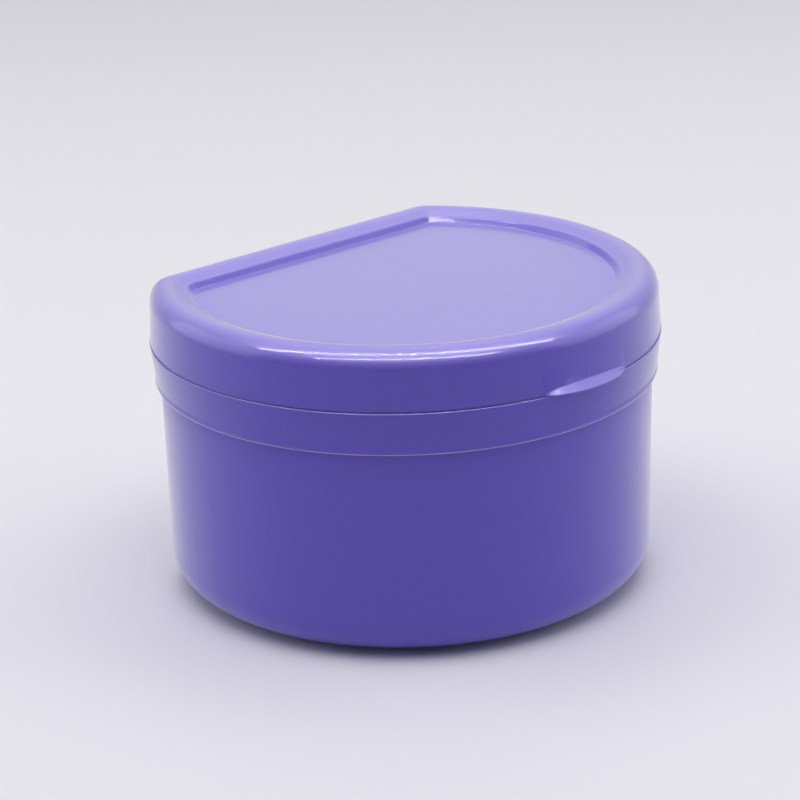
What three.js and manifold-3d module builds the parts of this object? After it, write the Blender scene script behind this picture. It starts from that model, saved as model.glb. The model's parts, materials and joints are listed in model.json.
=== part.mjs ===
// A D-shaped denture soaking case, moulded in lilac polypropylene, at real size.
// A deep cup stands on a foot ring. A shallow lid turns on a hinge behind the
// flat wall. A white strainer basket with a folding bail hangs inside the cup.
// Millimetres, +Z up, +Y towards the hinge, origin under the middle of the case.

import * as THREE from 'three';
import { mergeVertices } from 'three/addons/utils/BufferGeometryUtils.js';
import Module from 'manifold-3d';

const wasm = await Module();
wasm.setup();

// Plan of the case: a circle cut by a flat wall at the back. Every other wall is
// an inset from this line, which is the outer wall of the lid.
const lidRadius = 45;
const lidFlat = 31.7;
const lidCorner = 5.8;
const leastCorner = 3.4;
const arcSteps = 44;
const cornerSteps = 5;
const filletSteps = 5;

// The parting line: its height, and the thin gap where the lid meets the cup.
const seamHeight = 46.3;
const seamGap = 0.3;

// Lid: a rounded ridge, a rim that falls inwards to a crest, a steep step down to
// the flat field. The shares place points along the rim and the step.
const lidHeight = 10.2;
const lidWall = 1.4;
const ridgeInset = 2.3;
const ridgeRise = 3.5;
const crestInset = 6.4;
const crestDrop = 1.25;
const fieldInset = 8.6;
const fieldDrop = 2.8;
const stepShift = 0.8;
const rimShares = [[0.25, 0.1], [0.5, 0.34], [0.75, 0.65]];
const stepShares = [[0.2, 0.3], [0.42, 0.72], [0.7, 0.94]];

// Finger tab on the front of the lid, a thin crescent in front of the flange.
const tabProud = 2.3;
const tabTopRise = 0.6;
const tabDrop = 0.45;
const tabHalfAngle = THREE.MathUtils.degToRad(12.2);
const tabRoundness = 3;
const tabSteps = 14;
const tabRootShare = 0.5;

// Cup: body, collar, flange and the lip that locates the lid.
const cupWall = 2.1;
const cupFloor = 2;
const bodyTopInset = 1.5;
const bodyBottomInset = 1.65;
const bottomFillet = 7.7;
const collarHeight = 7.2;
const collarTopInset = -0.28;
const collarBottomInset = 0.42;
const collarUndercut = 0.8;
const flangeProud = 0.56;
const flangeThickness = 1.1;
const lipGap = 0.3;
const lipWall = 1;
const lipHeight = 3;
const lipChamfer = 0.4;
const ledgeDepth = 6.3;
const footWidth = 3.2;
const footRise = 0.6;

// Hinge: three ears on the cup, two knuckles on the lid, one moulded pin.
const hingeOut = 3;
const hingeWidth = 44;
const hingeCount = 5;
const hingeGap = 0.3;
const knuckleRadius = 2.3;
const boreRadius = 1.2;
const pinRadius = 1;
const pinHeadRadius = 1.8;
const pinHead = 0.9;
const webRise = 3.4;
const webRoot = 0.5;
const heelReach = 2.8;
const heelRise = 1.75;
const roundSides = 20;

// Strainer basket: hangs by its rim on the cup's inner ledge.
const rimGap = 0.3;
const basketRim = 1.2;
const basketWall = 1.3;
const basketFloor = 1.4;
const basketClearance = 0.8;
const basketDraft = 1.2;
const basketFillet = 4.5;
const basketStandOff = 5.9;
const slotWidth = 2.6;
const slotPitch = 7.4;
const wallSlotRise = 7.5;
const wallSlotDrop = 10.5;
const floorSlotLength = 9;
const floorSlotGap = 4;
const floorSlotMargin = 3.5;

// Bail: a low loop on two stubs in the basket's side walls, folded forwards.
const bailReach = 13;
const bailWidth = 2.6;
const bailThickness = 2.4;
const bailCorner = 6;
const bailPivotBack = 5.5;
const bailPivotDown = 4;
const bailEye = 2.1;
const bailSideGap = 0.6;
const stubRadius = 1.2;
const stubGap = 0.25;
const stubShare = 0.75;
const lugWidth = 3;
const lugHeight = 2.4;
const lugReach = 1.8;
const lugGap = 0.3;

// Places worked out from the sizes above.
const frontReach = lidRadius + tabProud;
const hingeBack = lidFlat + hingeOut + heelReach;
const centreY = (frontReach - hingeBack) / 2;
const flangeTop = seamHeight - seamGap / 2;
const lidBottom = seamHeight + seamGap / 2;
const lidTop = seamHeight + lidHeight;
const collarBottom = seamHeight - collarHeight;
const ledgeHeight = seamHeight - ledgeDepth;
const lipInset = lidWall + lipGap;
const lipInnerInset = lipInset + lipWall;
const hingeY = centreY + lidFlat + hingeOut;
const bowlTopInset = bodyTopInset + cupWall;
const floorTop = footRise + cupFloor;
const basketTop = ledgeHeight + rimGap + basketRim;
const basketBottom = floorTop + basketStandOff;
const basketTopInset = bowlTopInset + basketClearance;
const basketBottomInset = basketTopInset + basketDraft;
const bailPivotY = centreY + bailPivotBack;
const bailPivotZ = basketTop - bailPivotDown;

// Colours and finishes, as the photograph shows them.
const lilac = { color: 0x7468c4, roughness: 0.32, metalness: 0 };
const white = { color: 0xf0f0ee, roughness: 0.45, metalness: 0 };

// One closed outline of the D at an inset from the lid's wall, anticlockwise.
function outline(inset) {
  const radius = lidRadius - inset;
  const flat = lidFlat - inset;
  const corner = Math.max(lidCorner - inset, leastCorner);
  const cornerY = flat - corner;
  const cornerX = Math.sqrt((radius - corner) ** 2 - cornerY ** 2);
  const turn = Math.atan2(cornerY, cornerX);
  const points = [];
  for (let i = 0; i <= arcSteps; i += 1) {
    const angle = Math.PI - turn + (Math.PI + 2 * turn) * (i / arcSteps);
    points.push([radius * Math.cos(angle), radius * Math.sin(angle)]);
  }
  for (let i = 1; i <= cornerSteps; i += 1) {
    const angle = turn + (Math.PI / 2 - turn) * (i / cornerSteps);
    points.push([cornerX + corner * Math.cos(angle), cornerY + corner * Math.sin(angle)]);
  }
  for (let i = 0; i < cornerSteps; i += 1) {
    const angle = Math.PI / 2 + (Math.PI / 2 - turn) * (i / cornerSteps);
    points.push([-cornerX + corner * Math.cos(angle), cornerY + corner * Math.sin(angle)]);
  }
  return points.map(([x, y]) => [x, y + centreY]);
}

// A body built up from D rings. The section lists [inset, height] from the middle
// of the underside, round the outer wall, to the middle of the upper side.
function ringBody(section) {
  const rings = section.map(([inset, height]) => outline(inset).map(([x, y]) => [x, y, height]));
  const count = rings[0].length;
  const positions = rings.flat(2);
  const faces = [];
  for (let ring = 0; ring < rings.length - 1; ring += 1) {
    for (let i = 0; i < count; i += 1) {
      const next = (i + 1) % count;
      const low = ring * count;
      const high = low + count;
      faces.push(low + i, low + next, high + next, low + i, high + next, high + i);
    }
  }
  const under = rings.length * count;
  const over = under + 1;
  const last = (rings.length - 1) * count;
  positions.push(0, centreY, section[0][1], 0, centreY, section[section.length - 1][1]);
  for (let i = 0; i < count; i += 1) {
    const next = (i + 1) % count;
    faces.push(under, next, i, over, last + i, last + next);
  }
  const geometry = new THREE.BufferGeometry();
  geometry.setAttribute('position', new THREE.Float32BufferAttribute(positions, 3));
  geometry.setIndex(faces);
  return geometry;
}

// Points of a quarter round in the section, between two directions given in quarters.
function quarter(inset, height, radius, from, to, rise = radius) {
  const points = [];
  for (let i = 0; i <= filletSteps; i += 1) {
    const angle = (from + (to - from) * (i / filletSteps)) * (Math.PI / 2);
    points.push([inset - radius * Math.cos(angle), height + rise * Math.sin(angle)]);
  }
  return points;
}

// Points between two places in the section, at shares of the way along and down.
function between(from, to, shares) {
  return shares.map(([along, down]) => [
    from[0] + (to[0] - from[0]) * along,
    from[1] + (to[1] - from[1]) * down,
  ]);
}

function toSolid(geometry) {
  const bare = geometry.clone();
  bare.deleteAttribute('normal');
  bare.deleteAttribute('uv');
  const merged = mergeVertices(bare);
  return new wasm.Manifold(new wasm.Mesh({
    numProp: 3,
    vertProperties: new Float32Array(merged.attributes.position.array),
    triVerts: new Uint32Array(merged.index.array),
  }));
}

function toGeometry(solid) {
  const mesh = solid.getMesh();
  const geometry = new THREE.BufferGeometry();
  geometry.setAttribute('position', new THREE.Float32BufferAttribute(mesh.vertProperties, 3));
  geometry.setIndex(Array.from(mesh.triVerts));
  geometry.computeVertexNormals();
  return geometry;
}

// A round bar along X between two places, on an axis at y and z.
function roundBar(radius, from, to, y, z) {
  const bar = new THREE.CylinderGeometry(radius, radius, to - from, roundSides);
  bar.rotateZ(Math.PI / 2);
  bar.translate((from + to) / 2, y, z);
  return toSolid(bar);
}

// A block between two opposite corners.
function block(low, high) {
  const box = new THREE.BoxGeometry(high[0] - low[0], high[1] - low[1], high[2] - low[2]);
  box.translate((low[0] + high[0]) / 2, (low[1] + high[1]) / 2, (low[2] + high[2]) / 2);
  return toSolid(box);
}

// A flat shape in plan, given as [x, y] points, raised between two heights.
function plate(points, low, high) {
  const shape = new THREE.Shape(points.map(([x, y]) => new THREE.Vector2(x, y)));
  const body = new THREE.ExtrudeGeometry(shape, { depth: high - low, bevelEnabled: false });
  body.translate(0, 0, low);
  return toSolid(body);
}

// Start and end along X of one of the hinge's five barrels.
function barrelSpan(index) {
  const width = (hingeWidth - (hingeCount - 1) * hingeGap) / hingeCount;
  const from = -hingeWidth / 2 + index * (width + hingeGap);
  return [from, from + width];
}

function hingeBarrels(indexes, makeWeb) {
  const rounds = indexes.map((index) => {
    const [from, to] = barrelSpan(index);
    const barrel = roundBar(knuckleRadius, from, to, hingeY, seamHeight);
    return barrel.add(makeWeb(from, to));
  });
  const joined = rounds.reduce((all, one) => all.add(one));
  return joined.subtract(roundBar(boreRadius, -hingeWidth, hingeWidth, hingeY, seamHeight));
}

// Space that the turning barrels need, taken out of the walls beside them.
function hingeRoom() {
  const half = hingeWidth / 2 + hingeGap;
  return roundBar(knuckleRadius + hingeGap, -half, half, hingeY, seamHeight);
}

// Web of an ear: down to the collar, with a heel behind that stops the open lid.
function earWeb(from, to) {
  const wall = hingeY - hingeOut - webRoot;
  const root = block([from, wall, seamHeight - webRise], [to, hingeY, flangeTop]);
  const heel = block([from, hingeY, seamHeight], [to, hingeY + heelReach, seamHeight + heelRise]);
  return root.add(heel);
}

// Web of a knuckle: up to the back wall of the lid.
function knuckleWeb(from, to) {
  const wall = hingeY - hingeOut - webRoot;
  return block([from, wall, lidBottom], [to, hingeY, seamHeight + webRise]);
}

function makeCup() {
  const footOuter = bodyBottomInset + bottomFillet;
  const footInner = footOuter + footWidth;
  const bowlBottomInset = bodyBottomInset + cupWall;
  const bowlFillet = bottomFillet - cupWall;
  const section = [
    [footInner + footRise, footRise],
    [footInner, 0],
    ...quarter(footOuter, bottomFillet, bottomFillet, -1, 0),
    [bodyTopInset, collarBottom - collarUndercut],
    [collarBottomInset, collarBottom],
    [collarTopInset, flangeTop - flangeThickness],
    [-flangeProud, flangeTop - flangeThickness],
    [-flangeProud, flangeTop],
    [lipInset, flangeTop],
    [lipInset, flangeTop + lipHeight - lipChamfer],
    [lipInset + lipChamfer, flangeTop + lipHeight],
    [lipInnerInset, flangeTop + lipHeight],
    [lipInnerInset, ledgeHeight],
    [bowlTopInset, ledgeHeight],
    ...quarter(bowlBottomInset + bowlFillet, floorTop + bowlFillet, bowlFillet, 0, -1),
  ];
  const ears = hingeBarrels([0, 2, 4], earWeb);
  return toSolid(ringBody(section)).subtract(hingeRoom()).add(ears);
}

function makeTab() {
  const outer = [];
  const root = [];
  for (let i = 0; i <= tabSteps; i += 1) {
    const share = (2 * i) / tabSteps - 1;
    const angle = share * tabHalfAngle;
    const reach = lidRadius + tabProud * (1 - Math.abs(share) ** tabRoundness);
    const inside = lidRadius - lidWall * tabRootShare;
    outer.push([reach * Math.sin(angle), centreY - reach * Math.cos(angle)]);
    root.unshift([inside * Math.sin(angle), centreY - inside * Math.cos(angle)]);
  }
  const tab = plate([...outer, ...root], seamHeight - tabDrop, seamHeight + tabTopRise);
  const flangeRoom = -flangeProud - seamGap;
  const flange = ringBody([[flangeRoom, flangeTop - flangeThickness], [flangeRoom, lidBottom]]);
  return tab.subtract(toSolid(flange));
}

// The lid's upper face from ridge to field, or its underside one wall lower.
function lidFace(lower, shift) {
  const ridge = [ridgeInset, lidTop - lower];
  const crest = [crestInset - shift, lidTop - crestDrop - lower];
  const field = [fieldInset - shift, lidTop - fieldDrop - lower];
  return [...between(ridge, crest, rimShares), crest, ...between(crest, field, stepShares), field];
}

function makeLid() {
  const roundHeight = lidTop - ridgeRise;
  const section = [
    ...lidFace(lidWall, stepShift).reverse(),
    ...quarter(ridgeInset, roundHeight, ridgeInset - lidWall, 1, 0, ridgeRise - lidWall),
    [lidWall, lidBottom],
    [0, lidBottom],
    ...quarter(ridgeInset, roundHeight, ridgeInset, 0, 1, ridgeRise),
    ...lidFace(0, 0),
  ];
  const knuckles = hingeBarrels([1, 3], knuckleWeb);
  return toSolid(ringBody(section)).add(makeTab()).add(knuckles);
}

// The pin runs the whole hinge, with a head at one end against the last ear.
function makePin() {
  const end = hingeWidth / 2;
  const shaft = roundBar(pinRadius, -end, end + hingeGap + pinHead, hingeY, seamHeight);
  return shaft.add(roundBar(pinHeadRadius, end + hingeGap, end + hingeGap + pinHead, hingeY, seamHeight));
}

// Evenly spaced places round an outline, each with the direction of its wall.
function alongOutline(inset, pitch) {
  const points = outline(inset);
  const sides = points.map((from, i) => {
    const to = points[(i + 1) % points.length];
    return { from, to, length: Math.hypot(to[0] - from[0], to[1] - from[1]) };
  });
  const around = sides.reduce((sum, side) => sum + side.length, 0);
  const count = Math.floor(around / pitch);
  const places = [];
  for (let i = 0; i < count; i += 1) {
    let left = (around * (i + 0.5)) / count;
    const side = sides.find((one) => {
      left -= one.length;
      return left <= 0;
    });
    const share = 1 + left / side.length;
    const x = side.from[0] + (side.to[0] - side.from[0]) * share;
    const y = side.from[1] + (side.to[1] - side.from[1]) * share;
    places.push([x, y, Math.atan2(side.to[1] - side.from[1], side.to[0] - side.from[0])]);
  }
  return places;
}

function wallSlots() {
  const low = basketBottom + wallSlotRise;
  const high = basketTop - wallSlotDrop;
  return alongOutline(basketTopInset, slotPitch).map(([x, y, angle]) => {
    const slot = new THREE.BoxGeometry(slotWidth, basketFillet * 2, high - low);
    slot.rotateZ(angle);
    slot.translate(x, y, (low + high) / 2);
    return toSolid(slot);
  });
}

// Rows of slots that fit on the flat part of the basket's floor.
function floorSlots() {
  const edge = basketBottomInset + basketFillet + floorSlotMargin;
  const radius = lidRadius - edge;
  const flat = lidFlat - edge;
  const rowPitch = floorSlotLength + floorSlotGap;
  const columns = Math.floor(radius / slotPitch);
  const rows = Math.floor((radius + flat) / rowPitch);
  const slots = [];
  for (let row = 0; row < rows; row += 1) {
    const y = flat - floorSlotLength / 2 - row * rowPitch;
    for (let column = -columns; column <= columns; column += 1) {
      const x = column * slotPitch;
      const far = Math.abs(y) + floorSlotLength / 2;
      if (Math.hypot(Math.abs(x) + slotWidth / 2, far) <= radius) {
        const low = [x - slotWidth / 2, centreY + y - floorSlotLength / 2, basketBottom - basketFloor];
        const high = [x + slotWidth / 2, centreY + y + floorSlotLength / 2, basketBottom + basketFloor * 2];
        slots.push(block(low, high));
      }
    }
  }
  return slots;
}

// Half the width inside the basket's wall at the bail's pivot.
function pivotHalfWidth(inset) {
  return Math.sqrt((lidRadius - inset) ** 2 - bailPivotBack ** 2);
}

function bailLegOuter() {
  return pivotHalfWidth(basketTopInset + basketWall) - bailSideGap;
}

// Small lugs inside the side walls, on which the folded bail lies.
function bailLugs() {
  const top = bailPivotZ - bailThickness / 2 - lugGap;
  const wall = pivotHalfWidth(basketTopInset + basketWall / 2);
  const middle = bailPivotY - bailReach / 2;
  return [-1, 1].map((side) => {
    const near = side * (bailLegOuter() - lugReach);
    const far = side * wall;
    return block(
      [Math.min(near, far), middle - lugWidth / 2, top - lugHeight],
      [Math.max(near, far), middle + lugWidth / 2, top],
    );
  });
}

function makeBasket() {
  const wallHeight = basketBottom + basketFillet;
  const innerFillet = basketFillet - basketWall;
  const innerHeight = basketBottom + basketFloor + innerFillet;
  const section = [
    ...quarter(basketBottomInset + basketFillet, wallHeight, basketFillet, -1, 0),
    [basketTopInset, basketTop - basketRim],
    [lipInnerInset + rimGap, basketTop - basketRim],
    [lipInnerInset + rimGap, basketTop],
    [basketTopInset + basketWall, basketTop],
    ...quarter(basketBottomInset + basketWall + innerFillet, innerHeight, innerFillet, 0, -1),
  ];
  const stubHole = roundBar(stubRadius + stubGap, -lidRadius, lidRadius, bailPivotY, bailPivotZ);
  const lugs = bailLugs();
  const walls = lugs.reduce((all, lug) => all.add(lug), toSolid(ringBody(section)));
  const holes = [...wallSlots(), ...floorSlots(), stubHole];
  return holes.reduce((all, hole) => all.subtract(hole), walls);
}

// Outline of a loop open at the back: two legs and a bar with rounded corners.
function loopOutline(halfWidth, front, back, corner) {
  const points = [[-halfWidth, back]];
  for (let i = 0; i <= filletSteps; i += 1) {
    const angle = Math.PI + (Math.PI / 2) * (i / filletSteps);
    points.push([-halfWidth + corner + corner * Math.cos(angle), front + corner + corner * Math.sin(angle)]);
  }
  for (let i = 0; i <= filletSteps; i += 1) {
    const angle = -Math.PI / 2 + (Math.PI / 2) * (i / filletSteps);
    points.push([halfWidth - corner + corner * Math.cos(angle), front + corner + corner * Math.sin(angle)]);
  }
  return [...points, [halfWidth, back]];
}

function makeBail() {
  const outer = bailLegOuter();
  const inner = outer - bailWidth;
  const front = bailPivotY - bailReach;
  const low = bailPivotZ - bailThickness / 2;
  const high = bailPivotZ + bailThickness / 2;
  const whole = plate(loopOutline(outer, front, bailPivotY, bailCorner), low, high);
  const gap = plate(
    loopOutline(inner, front + bailWidth, bailPivotY + bailWidth, bailCorner - bailWidth),
    low - bailThickness,
    high + bailThickness,
  );
  const stubEnd = outer + (pivotHalfWidth(basketTopInset) - outer) * stubShare;
  const ends = [-1, 1].flatMap((side) => {
    const eye = [side * inner, side * outer].sort((a, b) => a - b);
    const stub = [side * inner, side * stubEnd].sort((a, b) => a - b);
    return [
      roundBar(bailEye, eye[0], eye[1], bailPivotY, bailPivotZ),
      roundBar(stubRadius, stub[0], stub[1], bailPivotY, bailPivotZ),
    ];
  });
  return ends.reduce((all, end) => all.add(end), whole.subtract(gap));
}

function piece(name, solid, finish) {
  const mesh = new THREE.Mesh(toGeometry(solid), new THREE.MeshStandardMaterial(finish));
  mesh.name = name;
  return mesh;
}

const dentureCase = new THREE.Group();
dentureCase.add(piece('cup', makeCup(), lilac));
dentureCase.add(piece('lid', makeLid(), lilac));
dentureCase.add(piece('hinge_pin', makePin(), lilac));
dentureCase.add(piece('strainer_basket', makeBasket(), white));
dentureCase.add(piece('basket_handle', makeBail(), white));

export default dentureCase;
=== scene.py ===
import json
import math

import bmesh
import bpy
import numpy as np
from mathutils import Matrix, Vector


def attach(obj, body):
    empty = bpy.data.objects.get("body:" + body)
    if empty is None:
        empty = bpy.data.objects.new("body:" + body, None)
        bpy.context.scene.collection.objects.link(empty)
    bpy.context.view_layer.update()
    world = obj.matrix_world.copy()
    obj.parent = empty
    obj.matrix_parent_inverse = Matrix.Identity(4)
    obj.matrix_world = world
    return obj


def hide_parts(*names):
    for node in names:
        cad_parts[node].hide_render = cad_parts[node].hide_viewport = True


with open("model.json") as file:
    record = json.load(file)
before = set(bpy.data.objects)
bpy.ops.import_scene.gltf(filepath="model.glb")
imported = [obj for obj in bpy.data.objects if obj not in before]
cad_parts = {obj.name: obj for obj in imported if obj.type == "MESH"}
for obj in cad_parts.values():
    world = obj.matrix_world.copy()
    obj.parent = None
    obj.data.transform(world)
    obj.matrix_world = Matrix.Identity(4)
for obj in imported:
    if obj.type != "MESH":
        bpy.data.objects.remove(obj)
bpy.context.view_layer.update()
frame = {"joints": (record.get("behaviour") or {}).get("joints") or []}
joints = {joint["name"]: joint for joint in frame["joints"]}
bpy.context.scene.view_settings.view_transform = "Standard"


# The cup: the deep lower half, one moulding in lilac polypropylene. A body with a
# rounded bottom and a foot ring, a collar under the flange, a thin lip that locates
# the lid, a ledge inside for the basket, and three hinge ears on the flat back.

# Sizes are in millimetres, and become metres where a mesh is made.
hinge_y, hinge_z = (1000 * place for place in joints["lid_hinge"]["pos_m"][1:])
hinge_out = 3.0
flat_wall, round_wall = 31.7, 45.2
back_corner, least_corner = 5.8, 3.4
centre_y = hinge_y - hinge_out - flat_wall


def outline(inset, spare=0):
    """One D-shaped ring, anticlockwise from above, at an inset, with more of it at the flat side."""
    radius, flat = round_wall - inset, flat_wall - inset - spare
    corner = max(back_corner - inset, least_corner)
    corner_y = flat - corner
    corner_x = math.sqrt((radius - corner) ** 2 - corner_y ** 2)
    turn = math.atan2(corner_y, corner_x)
    arc = np.linspace(math.pi - turn, 2 * math.pi + turn, 181)
    right = np.linspace(turn, math.pi / 2, 13)[1:]
    left = np.linspace(math.pi / 2, math.pi - turn, 13)[:-1]
    back = np.linspace(corner_x, -corner_x, 25)[1:-1]
    xs = np.concatenate([radius * np.cos(arc), corner_x + corner * np.cos(right), back,
                         corner * np.cos(left) - corner_x])
    ys = np.concatenate([radius * np.sin(arc), corner_y + corner * np.sin(right),
                         np.full(len(back), flat), corner_y + corner * np.sin(left)])
    return np.stack([xs, ys + centre_y], 1)


def soften(corners, steps=6):
    """Rounds each corner [inset, height, radius] of a section, and holds the faces beside it."""
    most_used, hold, hold_share = 0.97, 0.14, 0.3
    places = [Vector(corner[:2]) for corner in corners]
    cuts, halves = [0.0] * len(corners), [1.0] * len(corners)
    for i in range(1, len(corners) - 1):
        halves[i] = (places[i - 1] - places[i]).angle(places[i + 1] - places[i]) / 2
        if math.pi / 2 - halves[i] > 0.01:
            cuts[i] = corners[i][2] / math.tan(halves[i])
    for _ in range(3):
        for i in range(len(corners) - 1):
            over = most_used * (places[i + 1] - places[i]).length / max(cuts[i] + cuts[i + 1], 1e-9)
            if over < 1:
                cuts[i], cuts[i + 1] = cuts[i] * over, cuts[i + 1] * over
    points = [places[0]]
    for i in range(1, len(corners) - 1):
        place, cut = places[i], cuts[i]
        if cut == 0:
            points.append(place)
            continue
        back, ahead = places[i - 1] - place, places[i + 1] - place
        free_back = back.length - cut - cuts[i - 1]
        free_ahead = ahead.length - cut - cuts[i + 1]
        back.normalize()
        ahead.normalize()
        radius = cut * math.tan(halves[i])
        centre = place + (back + ahead).normalized() * (radius / math.sin(halves[i]))
        start, end = place + back * cut - centre, place + ahead * cut - centre
        sweep = start.angle_signed(end)
        points.append(place + back * (cut + min(hold, hold_share * free_back)))
        for step in range(steps + 1):
            angle = -sweep * step / steps
            points.append(centre + Vector((start.x * math.cos(angle) - start.y * math.sin(angle),
                                           start.x * math.sin(angle) + start.y * math.cos(angle))))
        points.append(place + ahead * (cut + min(hold, hold_share * free_ahead)))
    return [*points, places[-1]]


def in_scene(name, data):
    """An object of this mesh, curve, lamp or lens, linked to the scene."""
    made = bpy.data.objects.new(name, data)
    bpy.context.scene.collection.objects.link(made)
    return made


def lofted(name, rings, ends=()):
    """A closed body through rings of points in millimetres, drawn to two end points or closed flat."""
    count, last = len(rings[0]), (len(rings) - 1) * len(rings[0])
    faces = [(low + i, low + (i + 1) % count, low + count + (i + 1) % count, low + count + i)
             for low in range(0, last, count) for i in range(count)]
    if ends:
        first_end, last_end = last + count, last + count + 1
        faces += [(first_end, (i + 1) % count, i) for i in range(count)]
        faces += [(last_end, last + i, last + (i + 1) % count) for i in range(count)]
    else:
        faces += [tuple(range(count))[::-1], tuple(range(last, last + count))]
    places = np.concatenate([*rings, *([end] for end in ends)]) / 1000
    mesh = bpy.data.meshes.new(name)
    mesh.from_pydata(places.tolist(), [], faces)
    return in_scene(name, mesh)


def moulded(name, section, spares=((0,), (0,))):
    """A closed body of D rings, from the middle of its underside to the middle of its top."""
    rings = []
    for inset, height in section:
        ring = outline(inset, np.interp(inset, *spares))
        rings.append(np.column_stack([ring, np.full(len(ring), height)]))
    return lofted(name, rings, [(0, centre_y, height) for height in (section[0][1], section[-1][1])])


def turned(name, profile, y, z, sides=64):
    """A round body about an axis along X, from [place along X, radius] points."""
    turns = np.linspace(0, 2 * math.pi, sides, endpoint=False)
    rings = [[(x, y + r * math.cos(turn), z + r * math.sin(turn)) for turn in turns] for x, r in profile]
    return lofted(name, rings, [(profile[0][0], y, z), (profile[-1][0], y, z)])


# The turn in radians between two faces that makes their edge a hard one.
hard_edge = 0.6


def prism(name, profile, start, end, bevel):
    """A profile in Y and Z carried along X between two places, with its edges eased."""
    shape = bmesh.new()
    base = [shape.verts.new((start / 1000, y / 1000, z / 1000)) for y, z in profile]
    face = shape.faces.new(base)
    raised = bmesh.ops.extrude_face_region(shape, geom=[face])["geom"]
    moved = [one for one in raised if isinstance(one, bmesh.types.BMVert)]
    bmesh.ops.translate(shape, verts=moved, vec=((end - start) / 1000, 0, 0))
    bmesh.ops.recalc_face_normals(shape, faces=shape.faces[:])
    sharp = [edge for edge in shape.edges if edge.calc_face_angle(0) > hard_edge]
    bmesh.ops.bevel(shape, geom=sharp, offset=bevel / 1000, segments=3, profile=0.5,
                    affect="EDGES", clamp_overlap=True)
    mesh = bpy.data.meshes.new(name)
    shape.to_mesh(mesh)
    shape.free()
    return in_scene(name, mesh)


def round_about(y, z, radius, start, end, steps):
    """Points of a circle in Y and Z, between two angles in degrees."""
    turns = np.radians(np.linspace(start, end, steps + 1))
    return [(y + radius * math.cos(turn), z + radius * math.sin(turn)) for turn in turns]


def settle(piece):
    """Turns what the piece's modifiers make into its plain mesh, and removes them."""
    bpy.context.view_layer.update()
    ready = piece.evaluated_get(bpy.context.evaluated_depsgraph_get())
    result = bpy.data.meshes.new_from_object(ready)
    piece.modifiers.clear()
    piece.data = result


def fused(base, parts, operation="UNION"):
    """Joins parts to a base, or cuts them out of it, and removes them."""
    for part in parts:
        cut = base.modifiers.new("join", "BOOLEAN")
        cut.operation, cut.solver, cut.object = operation, "MANIFOLD", part
        settle(base)
        bpy.data.objects.remove(part)


def finished(piece, material):
    """Smooth faces with real edges kept, and the piece's one material."""
    piece.data.materials.clear()
    piece.data.materials.append(material)
    piece.data.shade_smooth()
    piece.data.set_sharp_from_angle(angle=hard_edge)


class Socket:
    """A socket of a node tree. Values are added and multiplied as in any sum."""

    def __init__(self, tree, socket=None):
        self.tree, self.socket = tree, socket

    def node(self, kind, settings, inputs, output=0):
        """An output of a new node, made with its settings and its sockets' values or links."""
        made = self.tree.nodes.new(kind)
        for name, value in settings.items():
            setattr(made, name, value)
        for name, value in inputs.items():
            for one in value if isinstance(value, list) else [value]:
                if isinstance(one, Socket):
                    self.tree.links.new(one.socket, made.inputs[name])
                else:
                    made.inputs[name].default_value = one
        return Socket(self.tree, made.outputs[output] if made.outputs else None)

    def also(self, output):
        """Another output of the same node."""
        return Socket(self.tree, self.socket.node.outputs[output])

    def sum(self, operation, first, second):
        return self.node("ShaderNodeMath", {"operation": operation}, {0: first, 1: second})

    def __add__(self, other):
        return self.sum("ADD", self, other)

    def __sub__(self, other):
        return self.sum("SUBTRACT", self, other)

    def __rsub__(self, other):
        return self.sum("SUBTRACT", other, self)

    def __mul__(self, other):
        return self.sum("MULTIPLY", self, other)

    def __pow__(self, other):
        return self.sum("POWER", self, other)

    __radd__ = __add__
    __rmul__ = __mul__


def linear(red, green, blue):
    """A colour given as 0 to 255 in the picture, in the shader's linear values."""
    return tuple(((c / 255 + 0.055) / 1.055) ** 2.4 if c > 10 else c / 3294 for c in (red, green, blue))


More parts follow.
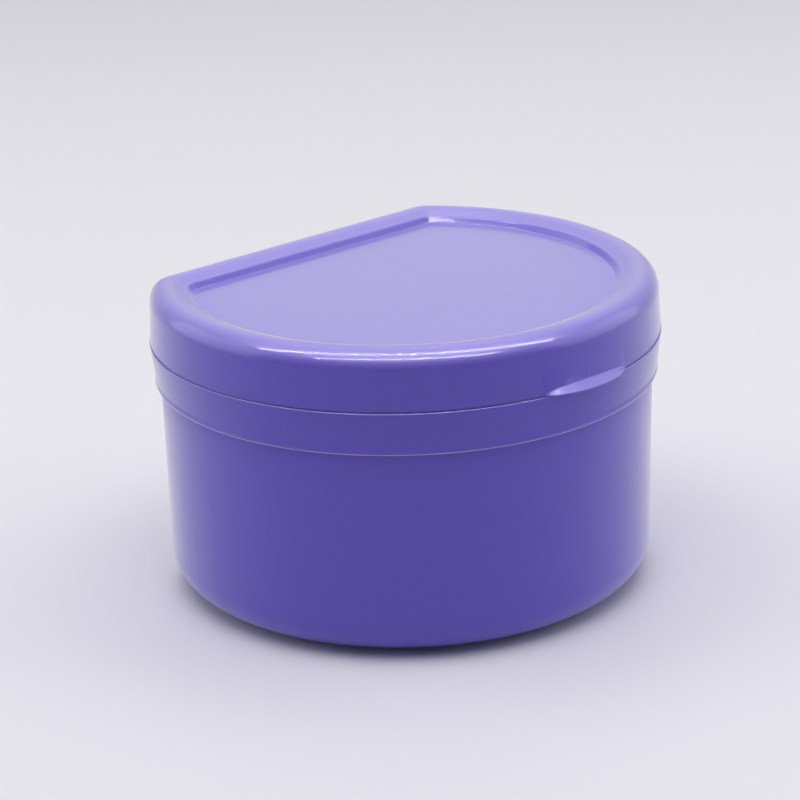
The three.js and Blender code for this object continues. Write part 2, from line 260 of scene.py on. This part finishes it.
def moulded_plastic(name, colour, gloss, peel, bloom):
    """Polypropylene from a polished tool, with faint flow streaks, orange peel and rub marks.

    A pale sheen, the bloom, lies on it. Low on the case the sheen is taken away, as painted shade for the
    dark ground at its foot.
    """
    foot_shade_height, sheen_full_height = 0.001, 0.008
    palest, darkest = 1.035, 0.965
    material = bpy.data.materials.new(name)
    material.use_nodes = True
    material.node_tree.nodes.clear()
    start = Socket(material.node_tree)
    place = start.node("ShaderNodeTexCoord", {}, {}, "Object")
    flow_place = start.node("ShaderNodeMapping", {}, {"Vector": place, "Scale": (18, 18, 60)})
    flow = start.node("ShaderNodeTexNoise", {}, {"Vector": flow_place, "Scale": 1, "Detail": 3})
    rub_place = start.node("ShaderNodeMapping", {},
                           {"Vector": place, "Scale": (900, 90, 400), "Rotation": (0.3, 0.2, 0.7)})
    rub = start.node("ShaderNodeTexNoise", {}, {"Vector": rub_place, "Scale": 1, "Detail": 4})
    skin = start.node("ShaderNodeTexNoise", {}, {"Vector": place, "Scale": 420, "Detail": 2})
    fine = start.node("ShaderNodeTexNoise", {}, {"Vector": place, "Scale": 2600, "Detail": 1})
    low, high = [(*(c * shade for c in colour), 1) for shade in (darkest, palest)]
    tint = start.node("ShaderNodeMix", {"data_type": "RGBA"}, {0: flow, 6: low, 7: high}, 2)
    rough = gloss + (rub - 0.5) * 0.06 + (flow - 0.5) * 0.04
    grain = skin * peel + fine * (peel * 0.16)
    bump = start.node("ShaderNodeBump", {}, {"Height": grain, "Strength": 1.0, "Distance": 0.00001})
    plain, hazy = [start.node("ShaderNodeBsdfPrincipled", {},
                              {"Base Color": tint, "Roughness": rough, "Normal": bump, "IOR": 1.49,
                               "Specular IOR Level": 0.25, "Coat Weight": 0.35, "Coat Roughness": 0.07,
                               "Sheen Weight": haze, "Sheen Roughness": 0.35}) for haze in (0, bloom)]
    # Painted shade: the sheen fades out towards the bottom, so the foot stays dark as it does in the shade
    # under the case.
    height = start.node("ShaderNodeSeparateXYZ", {}, {"Vector": place}, "Z")
    sheen_over_foot_shade = start.node("ShaderNodeMapRange", {"interpolation_type": "SMOOTHSTEP"},
                         {"Value": height, "From Min": foot_shade_height, "From Max": sheen_full_height})
    sheen_with_foot_shade = start.node("ShaderNodeMixShader", {}, {0: sheen_over_foot_shade, 1: plain, 2: hazy})
    start.node("ShaderNodeOutputMaterial", {}, {"Surface": sheen_with_foot_shade})
    return material


lilac = moulded_plastic("lilac_plastic", linear(88, 70, 180), gloss=0.32, peel=0.5, bloom=1.0)
seam_low = hinge_z - 0.2
body_low, floor_level = 1.1, 2.6
collar_low, ledge_level, lip_top = 38.2, 40, 49.15
lip_outside, lip_inside = 1.7, 2.7
foot_ring = [(13.2, 0.6, 0), (12.5, 0, 0.3), (10.6, 0, 0.5), (9.7, body_low, 0.5)]
outer_wall = [(1.5, body_low, 5.9), (1.12, collar_low, 0.35)]
collar = [(0.22, collar_low + 0.45, 0.5), (0.06, collar_low + 1, 0.35), (0.2, collar_low + 1.6, 0.6)]
flange = [(-0.56, seam_low, 0.2), (lip_outside, seam_low, 0.2)]
lip = [(lip_outside, lip_top, 0.4), (lip_inside, lip_top, 0.4)]
ledge = [(lip_inside, ledge_level, 0.25), (3.6, ledge_level, 0.35)]
inner_wall = [(3.75, floor_level, 5.6), (12, floor_level, 0)]
cup_section = [*foot_ring, *outer_wall, *collar, *flange, *lip, *ledge, *inner_wall]
lip_back_spare = ((lip_outside, lip_inside), (0.2, 0))
cup = moulded("Cup", soften(cup_section, steps=7), lip_back_spare)

hinge_length, barrel_count, barrel_gap = 44, 5, 0.3
barrel_radius, barrel_ease = 2.3, 0.22
hinge_end, hinge_root = hinge_length / 2, hinge_y - hinge_out - 0.5


def hinge_span(index):
    """The start and end along X of one of the five barrels of the hinge."""
    width = (hinge_length - (barrel_count - 1) * barrel_gap) / barrel_count
    start = index * (width + barrel_gap) - hinge_end
    return start, start + width


ear_low, ear_foot_radius, ear_foot_y = 42.9, 1, hinge_y - 0.9
heel_y, heel_z = hinge_y + 2.8, hinge_z + 1.75
ear_profile = [
    (hinge_root, ear_low), (ear_foot_y, ear_low),
    *round_about(ear_foot_y, ear_low + ear_foot_radius, ear_foot_radius, -80, -20, 5),
    *round_about(hinge_y, hinge_z, barrel_radius, -62, 0, 9), (heel_y, hinge_z), (heel_y, heel_z),
    *round_about(hinge_y, hinge_z, barrel_radius, 49.5, 180, 16), (hinge_root, seam_low),
]
fused(cup, [prism("ear", ear_profile, *hinge_span(index), barrel_ease) for index in (0, 2, 4)])
bore_radius, mouth_radius, bore_past = 1.07, 1.3, hinge_end + 1
mouth_start, mouth_end = hinge_end + 0.05, hinge_end - 0.25
mouth = [(bore_past, mouth_radius), (mouth_start, mouth_radius), (mouth_end, bore_radius)]
bore = [*((-x, radius) for x, radius in mouth), *mouth[::-1]]
fused(cup, [turned("bore", bore, hinge_y, hinge_z, sides=40)], "DIFFERENCE")
finished(cup, lilac)
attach(cup, "cup")
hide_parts("cup")


# The lid: the shallow upper half, moulded in the same lilac. Its rim is rounded, falls
# a little inwards to a crest, and steps down to the flat field. The finger tab is a thin
# crescent at the front, and two knuckles behind turn on the pin.
seam_high = seam_low + 0.1
lid_top, field_height, rim_height, lid_wall = 56.6, 54.5, 3.6, 1.4
ridge_inset, brow_inset, field_inset = 3.3, 6.4, 7.5
brow_drop = 0.86


def rim_curve(first, first_pull, second_pull, second, steps):
    """Points of one smooth bend between two places of the section."""
    shares = np.linspace(0, 1, steps + 1)[:, None]
    return ((1 - shares) ** 3 * first + 3 * (1 - shares) ** 2 * shares * first_pull
            + 3 * (1 - shares) * shares ** 2 * second_pull + shares ** 3 * second)


def lid_face(lower, shift, side):
    """The lid's face from the wall over the rim to the field, or its underside one wall lower."""
    round_pull = 0.55
    top, field = lid_top - lower, field_height - lower
    wall, ridge = np.array([side, lid_top - rim_height]), np.array([ridge_inset, top])
    brow = np.array([brow_inset - shift, top - brow_drop])
    shoulder = rim_curve(wall, wall + [0, (top - wall[1]) * round_pull],
                         ridge - [(ridge_inset - side) * round_pull, 0], ridge, 14)
    plateau = rim_curve(ridge, ridge + [1.2, 0], brow - [0.9, -0.27], brow, 8)
    edge = [(*point, 0) for point in [*shoulder, *plateau[1:]]]
    crest = (brow_inset + 0.4 - shift, top - brow_drop - 0.13, 0.6)
    return [*edge, crest, (field_inset - shift, field, 0.4), (11.5, field, 0)]


lid_section = [*lid_face(lid_wall, 0.75, lid_wall)[::-1], (lid_wall, seam_high, 0.2),
               (-0.4, seam_high, 0.3), *lid_face(0, 0, -0.12)]
rim_back_spare = ((2, 4, brow_inset, field_inset), (0.2, 0.2, 0.35, 0))
lid = moulded("Lid", soften(lid_section), rim_back_spare)


def face_outward(piece):
    """Turns the faces of a closed body outwards."""
    shape = bmesh.new()
    shape.from_mesh(piece.data)
    bmesh.ops.recalc_face_normals(shape, faces=shape.faces[:])
    shape.to_mesh(piece.data)
    shape.free()


tab_half_angle, tab_reach, tab_thickness, tab_ease = 12.3, 1.95, 0.28, 0.13
tab_root, tab_buried = round_wall + 0.38, round_wall - 0.6


def finger_tab():
    """The crescent: a thin blade that slopes down to an eased edge and fades out at its ends."""
    quarter = np.linspace(0, math.pi / 2, 5)
    rings = []
    for share in np.linspace(-1, 1, 61):
        angle, swell = share * math.radians(tab_half_angle), max(1 - abs(share) ** 2.3, 0.01)
        reach = tab_reach * swell
        edge, low, high = tab_root + reach, seam_high - 0.15 * min(3 * swell, 1), seam_high + 0.06
        top, crown = seam_high + 0.1 + 0.9 * swell ** 0.45, low + tab_thickness
        step, ease = tab_root + min(reach * 0.4, 0.28), min(tab_ease, 0.45 * reach)
        section = [(tab_buried, high), (step - 0.05, high), (step, seam_high), (step + 0.03, low)]
        section += [(edge - ease + ease * math.sin(turn), low + ease - ease * math.cos(turn))
                    for turn in quarter]
        section += [(edge - ease + ease * math.cos(turn), crown - ease + ease * math.sin(turn))
                    for turn in quarter]
        run, climb = tab_root + 0.06 - (edge - ease), top - crown
        section += [(edge - ease + run * part, crown + climb * part) for part in (0.08, 0.35, 0.65, 0.92)]
        section += [(tab_root + 0.03, top + 0.04), (tab_root - 0.03, top + 0.16), (tab_buried, top + 0.26)]
        rings.append([(r * math.sin(angle), centre_y - r * math.cos(angle), z) for r, z in section])
    tab = lofted("tab", rings)
    face_outward(tab)
    return tab


knuckle_top = hinge_z + 3.4
knuckle_profile = [
    (hinge_root, seam_high), *round_about(hinge_y, hinge_z, barrel_radius, 180, 450, 30),
    (hinge_y - 0.2, knuckle_top - 0.3), (hinge_y - 0.6, knuckle_top), (hinge_root, knuckle_top),
]
knuckles = [prism("knuckle", knuckle_profile, *hinge_span(index), barrel_ease) for index in (1, 3)]
fused(lid, [finger_tab(), *knuckles])
loose_radius = 1.12
loose_bore = [(-bore_past, loose_radius), (bore_past, loose_radius)]
fused(lid, [turned("bore", loose_bore, hinge_y, hinge_z, sides=40)], "DIFFERENCE")
finished(lid, lilac)
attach(lid, "lid")
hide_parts("lid")


# The hinge pin: a moulded rod through the five barrels, with a low domed head at one
# end and an eased tip at the other. It is pressed into the cup's ears.
pin_plastic = moulded_plastic("lilac_pin_plastic", linear(96, 82, 188), gloss=0.3, peel=0.6, bloom=0.5)
pin_radius, head_radius, head_height, pin_end = 1.0, 1.8, 0.9, hinge_end + 0.3
pin_tip = [(-pin_end, 0.05), (0.02 - pin_end, 0.5), (0.1 - pin_end, 0.85), (0.25 - pin_end, pin_radius)]
head_rise = [(0, pin_radius), (0, head_radius - 0.2), (0.08, head_radius - 0.05), (0.25, head_radius),
             (0.5, 1.72), (0.7, 1.45), (0.82, 1.0), (0.89, 0.5), (head_height, 0.1)]
pin_head = [(pin_end + rise, radius) for rise, radius in head_rise]
pin = turned("Hinge_pin", [*pin_tip, *pin_head], hinge_y, hinge_z)
finished(pin, pin_plastic)
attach(pin, "cup")
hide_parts("hinge_pin")


# The strainer basket: a thin white polypropylene tray that hangs by its rim on the
# ledge. Slots in its wall and floor let the fluid drain, two holes carry the handle's
# stubs, and two small lugs inside hold the handle when it is folded down.
def drain_tree(material):
    """Geometry Nodes that cut a row of slots round the wall and a grid of slots in the floor."""
    tree = bpy.data.node_groups.new("drain_slots", "GeometryNodeTree")
    tree.interface.new_socket("Geometry", in_out="INPUT", socket_type="NodeSocketGeometry")
    tree.interface.new_socket("Wall Path", in_out="INPUT", socket_type="NodeSocketObject")
    sizes = {"Slot Width": 0.0026, "Wall Slot Length": 0.015, "Wall Slot Middle": 0.0235,
             "Floor Slot Length": 0.009, "Column Pitch": 0.0074, "Row Pitch": 0.013,
             "Floor Radius": 0.0314, "First Row": 0.0136, "Floor Level": 0.0092, "Centre": centre_y / 1000}
    for name, size in sizes.items():
        socket = tree.interface.new_socket(name, in_out="INPUT", socket_type="NodeSocketFloat")
        socket.default_value = size
    count = tree.interface.new_socket("Wall Slots", in_out="INPUT", socket_type="NodeSocketInt")
    count.default_value = 31
    tree.interface.new_socket("Geometry", in_out="OUTPUT", socket_type="NodeSocketGeometry")
    given = {socket.name: Socket(tree, socket) for socket in tree.nodes.new("NodeGroupInput").outputs}
    start = Socket(tree)

    def cutter(length, near, far):
        """A slot's shape with round ends, carried from the near place to the far one."""
        shape = start.node("GeometryNodeCurvePrimitiveQuadrilateral", {},
                           {"Width": given["Slot Width"], "Height": length})
        eased = start.node("GeometryNodeFilletCurve", {"mode": "POLY"},
                           {"Curve": shape, "Radius": given["Slot Width"] * 0.49, "Count": 5})
        line = start.node("GeometryNodeCurvePrimitiveLine", {}, {"Start": near, "End": far})
        return start.node("GeometryNodeCurveToMesh", {},
                          {"Curve": line, "Profile Curve": eased, "Fill Caps": True})

    def moved(points, offset):
        """Points moved by a length along Y, Z or both."""
        way = start.node("ShaderNodeCombineXYZ", {}, offset)
        return start.node("GeometryNodeSetPosition", {}, {"Geometry": points, "Offset": way})

    path = start.node("GeometryNodeObjectInfo", {}, {"Object": given["Wall Path"]}, "Geometry")
    spots = start.node("GeometryNodeCurveToPoints", {"mode": "COUNT"},
                       {"Curve": path, "Count": given["Wall Slots"]}, "Points")
    facing = start.node("FunctionNodeAlignRotationToVector", {"axis": "X", "pivot_axis": "Z"},
                        {"Vector": spots.also("Tangent")})
    wall_slots = start.node("GeometryNodeInstanceOnPoints", {}, {
        "Points": moved(spots, {"Z": given["Wall Slot Middle"]}), "Rotation": facing,
        "Instance": cutter(given["Wall Slot Length"], (0, -0.004, 0), (0, 0.004, 0))})
    columns, rows = 9, 3
    grid = start.node("GeometryNodeMeshGrid", {}, {
        "Vertices X": columns, "Vertices Y": rows,
        "Size X": given["Column Pitch"] * (columns - 1), "Size Y": given["Row Pitch"] * (rows - 1)})
    spread = moved(grid, {"Y": given["First Row"] - given["Row Pitch"]})
    place = start.node("GeometryNodeInputPosition", {}, {})
    x = start.node("ShaderNodeSeparateXYZ", {}, {0: place}, "X")
    far_x = start.sum("ABSOLUTE", x, 0) + given["Slot Width"] * 0.5
    far_y = start.sum("ABSOLUTE", x.also("Y"), 0) + given["Floor Slot Length"] * 0.5
    outside = start.sum("GREATER_THAN", (far_x * far_x + far_y * far_y) ** 0.5, given["Floor Radius"])
    kept = start.node("GeometryNodeDeleteGeometry", {"domain": "POINT"},
                      {"Geometry": spread, "Selection": outside})
    floor_slots = start.node("GeometryNodeInstanceOnPoints", {}, {
        "Points": moved(kept, {"Y": given["Centre"], "Z": given["Floor Level"]}),
        "Instance": cutter(given["Floor Slot Length"], (0, 0, -0.003), (0, 0, 0.003))})
    both = start.node("GeometryNodeJoinGeometry", {}, {0: [wall_slots, floor_slots]})
    cutters = start.node("GeometryNodeRealizeInstances", {}, {"Geometry": both})
    pierced = start.node("GeometryNodeMeshBoolean", {"operation": "DIFFERENCE", "solver": "MANIFOLD"},
                         {"Mesh 1": given["Geometry"], "Mesh 2": cutters})
    whole = start.node("GeometryNodeRealizeInstances", {}, {"Geometry": pierced})
    dressed = start.node("GeometryNodeSetMaterial", {}, {"Geometry": whole, "Material": material})
    start.node("NodeGroupOutput", {}, {0: dressed})
    return tree


def wall_loop(name, inset):
    """The closed path round the basket's wall, on which the slots are spaced."""
    points = outline(inset) / 1000
    path = bpy.data.curves.new(name, "CURVE")
    path.dimensions = "3D"
    loop = path.splines.new("POLY")
    loop.points.add(len(points) - 1)
    flat = np.column_stack([points, np.zeros(len(points)), np.ones(len(points))])
    loop.points.foreach_set("co", flat.ravel())
    loop.use_cyclic_u = True
    return in_scene(name, path)


white = moulded_plastic("white_plastic", linear(238, 238, 234), gloss=0.34, peel=1.2, bloom=0.1)
pivot_y, pivot_z = (1000 * place for place in joints["handle_swing"]["pos_m"][1:])
basket_low, basket_floor, rim_low, basket_top = 8.5, 1.4, 40.3, 41.5
rim_inset, basket_outside, basket_inside = 3.0, 4.4, 5.7
basket = moulded("Strainer_basket", soften([
    (12, basket_low, 0), (5.6, basket_low, 4.5), (basket_outside, rim_low, 0.3), (rim_inset, rim_low, 0.3),
    (rim_inset, basket_top, 0.5), (basket_inside, basket_top, 0.5),
    (6.9, basket_low + basket_floor, 3.2), (12, basket_low + basket_floor, 0),
], steps=7))

leg_room, lug_middle = 0.6, pivot_y - 6.5
lug_half, lug_high, lug_low = 1.5, pivot_z - 1.5, pivot_z - 2.8
inner_half = math.sqrt((round_wall - basket_inside) ** 2 - (pivot_y - centre_y) ** 2)
leg_outer = inner_half - leg_room
lug_profile = [
    (lug_middle - lug_half, lug_low), (lug_middle, lug_low - 1.1), (lug_middle + lug_half, lug_low),
    (lug_middle + lug_half, lug_high), (lug_middle - lug_half, lug_high),
]
lugs = []
for side in (-1, 1):
    near, far = sorted((side * (leg_outer - 1.8), side * (leg_outer + 1.25)))
    lugs.append(prism("lug", lug_profile, near, far, bevel=0.3))
fused(basket, lugs)
stub_hole = [(-44, 1.45), (44, 1.45)]
fused(basket, [turned("stub_hole", stub_hole, pivot_y, pivot_z, sides=40)], "DIFFERENCE")

wall_path = wall_loop("wall_path", (basket_outside + basket_inside) / 2)
slots = basket.modifiers.new("slots", "NODES")
slots.node_group = drain_tree(white)
inputs = [item for item in slots.node_group.interface.items_tree if item.in_out == "INPUT"]
slots[next(item.identifier for item in inputs if item.name == "Wall Path")] = wall_path
settle(basket)
bpy.data.objects.remove(wall_path)
finished(basket, white)
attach(basket, "basket")
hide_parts("strainer_basket")


# The basket's handle: a low white bail, moulded in one. Its two stubs turn in the
# holes in the basket's side walls, and it lies on the lugs when it is folded down.
bail_width, bail_thickness, bail_reach = 2.6, 2.4, 11.7
bail_corner, bail_ease = 4.7, 0.75


def bail(name):
    """A rounded bar swept along two legs and a cross bar with rounded corners."""
    middle_x, front_y = leg_outer - bail_width / 2, pivot_y - bail_reach
    turns = np.linspace(0, math.pi / 2, 13)
    bend = [(-middle_x + bail_corner * (1 - math.cos(turn)), front_y + bail_corner * (1 - math.sin(turn)))
            for turn in turns]
    leg = [(-middle_x, y) for y in np.linspace(pivot_y, front_y + bail_corner, 7)[:-1]]
    bar = [(x, front_y) for x in np.linspace(-middle_x + bail_corner, 0, 7)[1:-1]]
    half_path = [*leg, *bend, *bar]
    path = np.array([*half_path, (0, front_y), *[(-x, y) for x, y in half_path[::-1]]])
    ways = np.gradient(path, axis=0)
    ways /= np.linalg.norm(ways, axis=1)[:, None]
    straight, upright = bail_width / 2 - bail_ease, bail_thickness / 2 - bail_ease
    outer = [(sx * straight + bail_ease * math.cos(turn), sz * upright + bail_ease * math.sin(turn))
             for sx, sz, begin in ((1, 1, 0), (-1, 1, 90), (-1, -1, 180), (1, -1, 270))
             for turn in np.radians(np.linspace(begin, begin + 90, 7))]
    rings = [[(x - way_y * across, y + way_x * across, pivot_z + up) for across, up in outer]
             for (x, y), (way_x, way_y) in zip(path, ways)]
    made = lofted(name, rings)
    face_outward(made)
    return made


handle_white = moulded_plastic("white_handle_plastic", linear(240, 240, 237), gloss=0.28, peel=0.9,
                               bloom=0.1)
handle = bail("Basket_handle")
eye = [(-2.6, 1.75), (-2.5, 1.98), (-2.3, 2.1), (-0.3, 2.1), (-0.1, 1.98), (0, 1.75)]
stub = [(-0.4, 1.2), (1.2, 1.2), (1.35, 1.12), (1.42, 0.95)]
pivots = []
for side in (-1, 1):
    for profile in (eye, stub):
        places = [(side * (leg_outer + out), radius) for out, radius in profile]
        pivots.append(turned("pivot", places[::side], pivot_y, pivot_z, sides=48))
fused(handle, pivots)
finished(handle, handle_white)
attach(handle, "handle")
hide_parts("basket_handle")


# The stage: a flat pale floor in a white tent, a soft panel overhead, one at each side
# and one in front, two rows of small lamps that mirror in the lid's rim, and the
# camera where the photograph's was.
turn, rise, roll = (math.radians(angle) for angle in (-42.076, 19.781, -1.743))
right = Vector((math.cos(turn), math.sin(turn), 0))
behind = Vector((-math.sin(turn), math.cos(turn), 0))
up = Vector((0, 0, 1))
away = up * math.sin(rise) - behind * math.cos(rise)
upright = away.cross(right)


def tent_world():
    """A white tent: plain to the camera, soft to the case, and brighter overhead in its gloss."""
    world = bpy.data.worlds.new("tent")
    world.use_nodes = True
    world.node_tree.nodes.clear()
    start = Socket(world.node_tree)
    direct = start.node("ShaderNodeLightPath", {}, {}, "Is Camera Ray")
    glossy, clear = direct.also("Is Glossy Ray"), direct.also("Is Transmission Ray")
    seen = start.sum("MINIMUM", direct + glossy + clear, 1)
    way = start.node("ShaderNodeTexCoord", {}, {}, "Generated")
    height = start.node("ShaderNodeSeparateXYZ", {}, {0: way}, "Z")
    crown = start.sum("MAXIMUM", height, 0) ** 1.7 * glossy * 6.8 + 0.85
    soft = start.node("ShaderNodeBackground", {}, {"Color": (0.98, 0.98, 1, 1), "Strength": 0.1})
    bright = start.node("ShaderNodeBackground", {}, {"Color": (0.81, 0.8, 0.84, 1), "Strength": crown})
    mixed = start.node("ShaderNodeMixShader", {}, {0: seen, 1: soft, 2: bright})
    start.node("ShaderNodeOutputWorld", {}, {"Surface": mixed})
    return world


bpy.context.scene.world = tent_world()
floor_material = bpy.data.materials.new("pale_floor")
floor_material.use_nodes = True
floor_shader = floor_material.node_tree.nodes["Principled BSDF"]
floor_shader.inputs["Base Color"].default_value = (0.74, 0.73, 0.772, 1)
floor_shader.inputs["Roughness"].default_value = 0.6
floor_shader.inputs["Specular IOR Level"].default_value = 0.2
floor_half = 4
floor_corners = [(side_x * floor_half, side_y * floor_half, 0)
                 for side_x, side_y in ((-1, -1), (1, -1), (1, 1), (-1, 1))]
floor_mesh = bpy.data.meshes.new("Floor")
floor_mesh.from_pydata(floor_corners, [], [(0, 1, 2, 3)])
floor_mesh.materials.append(floor_material)
floor = in_scene("Floor", floor_mesh)


def soft_light(name, place, target, size, brightness):
    """A soft panel of even brightness, where a brightness of 1 shows as white."""
    lamp = bpy.data.lights.new(name, "AREA")
    lamp.shape, lamp.size, lamp.size_y = "RECTANGLE", size[0], size[1]
    lamp.energy = brightness * math.pi * size[0] * size[1]
    made = in_scene(name, lamp)
    made.location = place
    made.rotation_euler = (target - place).to_track_quat("-Z", "Y").to_euler()
    made.visible_camera = False
    return made


def lamp_row(name, place, length, width, pitch, brightness):
    """A row of small round lamps along the camera's right, in one strip that faces down."""
    lamp_length, lamps = 0.011, round(length / pitch)
    strip = soft_light(name, place, place - up, (length, width), brightness)
    strip.rotation_euler = (0, 0, turn)
    strip.visible_diffuse = False
    strip.data.use_nodes = True
    strip.data.node_tree.nodes.clear()
    start = Socket(strip.data.node_tree)
    spot = start.node("ShaderNodeNewGeometry", {}, {}, "Parametric")
    along = start.node("ShaderNodeSeparateXYZ", {}, {0: spot}, "X")
    beat = (start.sum("FRACT", along * lamps, 0) - 0.5) * (length / lamps / lamp_length)
    drift = (along.also("Y") - 0.5) * 2
    lit = start.sum("LESS_THAN", beat * beat * 4 + drift * drift, 1)
    glow = start.node("ShaderNodeEmission", {}, {"Strength": lit})
    start.node("ShaderNodeOutputLight", {}, {"Surface": glow})


case = Vector((0, centre_y / 1000, 0.04))
soft_light("ceiling", case + up * 0.62, case, (0.9, 0.9), 1.42)
for side in (-1, 1):
    soft_light("side_softbox", case + right * (side * 0.9) + behind * 0.1 + up * 0.3, case, (1.0, 0.6), 1.95)
soft_light("front_softbox", case - behind * 0.45 + up * 0.75, case, (0.9, 0.5), 0.85)
for toward, length, pitch in ((0.106, 1.1, 0.034), (0.39, 0.8, 0.028)):
    lamp_row("lamp_row", case - behind * toward + up * 0.5, length, 0.09, pitch, 80)

lens = bpy.data.cameras.new("camera")
lens.sensor_width, lens.lens, lens.clip_start = 36, 124.97, 0.01
camera = in_scene("camera", lens)
camera_distance, aim_height, aim_right, aim_up = 0.5028, 0.03098, -0.001329, 0.001099
aim = Vector((0, centre_y / 1000, aim_height)) + right * aim_right + upright * aim_up
rolled_right = right * math.cos(roll) + upright * math.sin(roll)
rolled_up = upright * math.cos(roll) - right * math.sin(roll)
facing = Matrix((rolled_right, rolled_up, away)).transposed()
camera.matrix_world = Matrix.Translation(aim + away * camera_distance) @ facing.to_4x4()
bpy.context.scene.camera = camera
